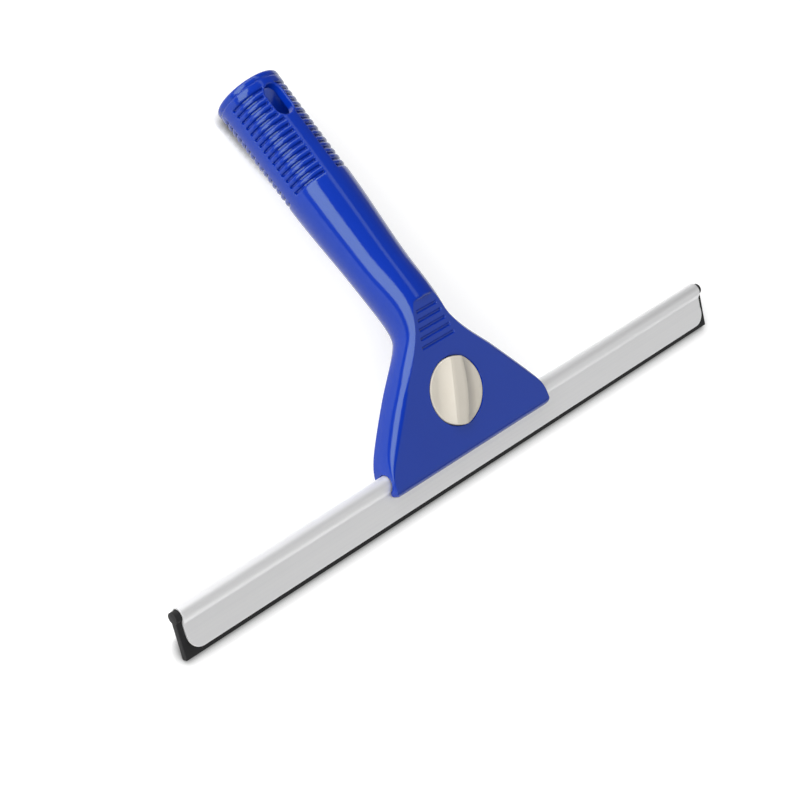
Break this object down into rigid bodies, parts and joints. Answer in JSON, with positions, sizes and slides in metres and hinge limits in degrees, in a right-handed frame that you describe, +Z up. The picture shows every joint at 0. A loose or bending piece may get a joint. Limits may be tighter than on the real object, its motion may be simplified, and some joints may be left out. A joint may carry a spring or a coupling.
{
  "type": "window squeegee",
  "caption": "Hand squeegee for windows: ribbed hollow handle with a fishtail head and quarter-turn lock, holding an aluminium channel with a rubber blade.",
  "frame": {"origin": "on the table under the middle of the squeegee, as it lies on its back", "axes": "+X along the blade, +Y along the handle away from the blade, +Z up from the table"},
  "size_m": [0.356, 0.208, 0.0426],
  "materials": {
    "blue_plastic": "moulded gloss",
    "beige_plastic": "moulded satin",
    "grey_plastic": "moulded satin",
    "steel": "zinc plated",
    "aluminium": "satin anodised",
    "rubber": "matt"
  },
  "bodies": {
    "handle": {"handle_body": "blue_plastic"},
    "knob": {"lock_knob": "beige_plastic", "retaining_washer": "steel", "retaining_screw": "steel"},
    "jaw": {"clamp_jaw": "grey_plastic"},
    "channel": {"blade_channel": "aluminium"},
    "rubber": {"rubber_blade": "rubber"}
  },
  "joints": [
    {"name": "knob_turn", "type": "hinge", "parent": "handle", "child": "knob", "pos_m": [0, -0.06763, 0.0254], "axis": [0, -0.3667, 0.9304], "range_deg": [0, 90]},
    {"name": "jaw_slide", "type": "slide", "parent": "handle", "child": "jaw", "axis": [0, 0.9304, 0.3667], "range_m": [0, 0.002]},
    {"name": "channel_slide", "type": "slide", "parent": "handle", "child": "channel", "axis": [1, 0, 0], "range_m": [-0.12, 0.12]},
    {"name": "rubber_slide", "type": "slide", "parent": "channel", "child": "rubber", "axis": [1, 0, 0], "range_m": [-0.3, 0.3]}
  ],
  "couplings": [
    {"joint": "jaw_slide", "follows": "knob_turn", "m_per_rad": 0.0012732}
  ]
}
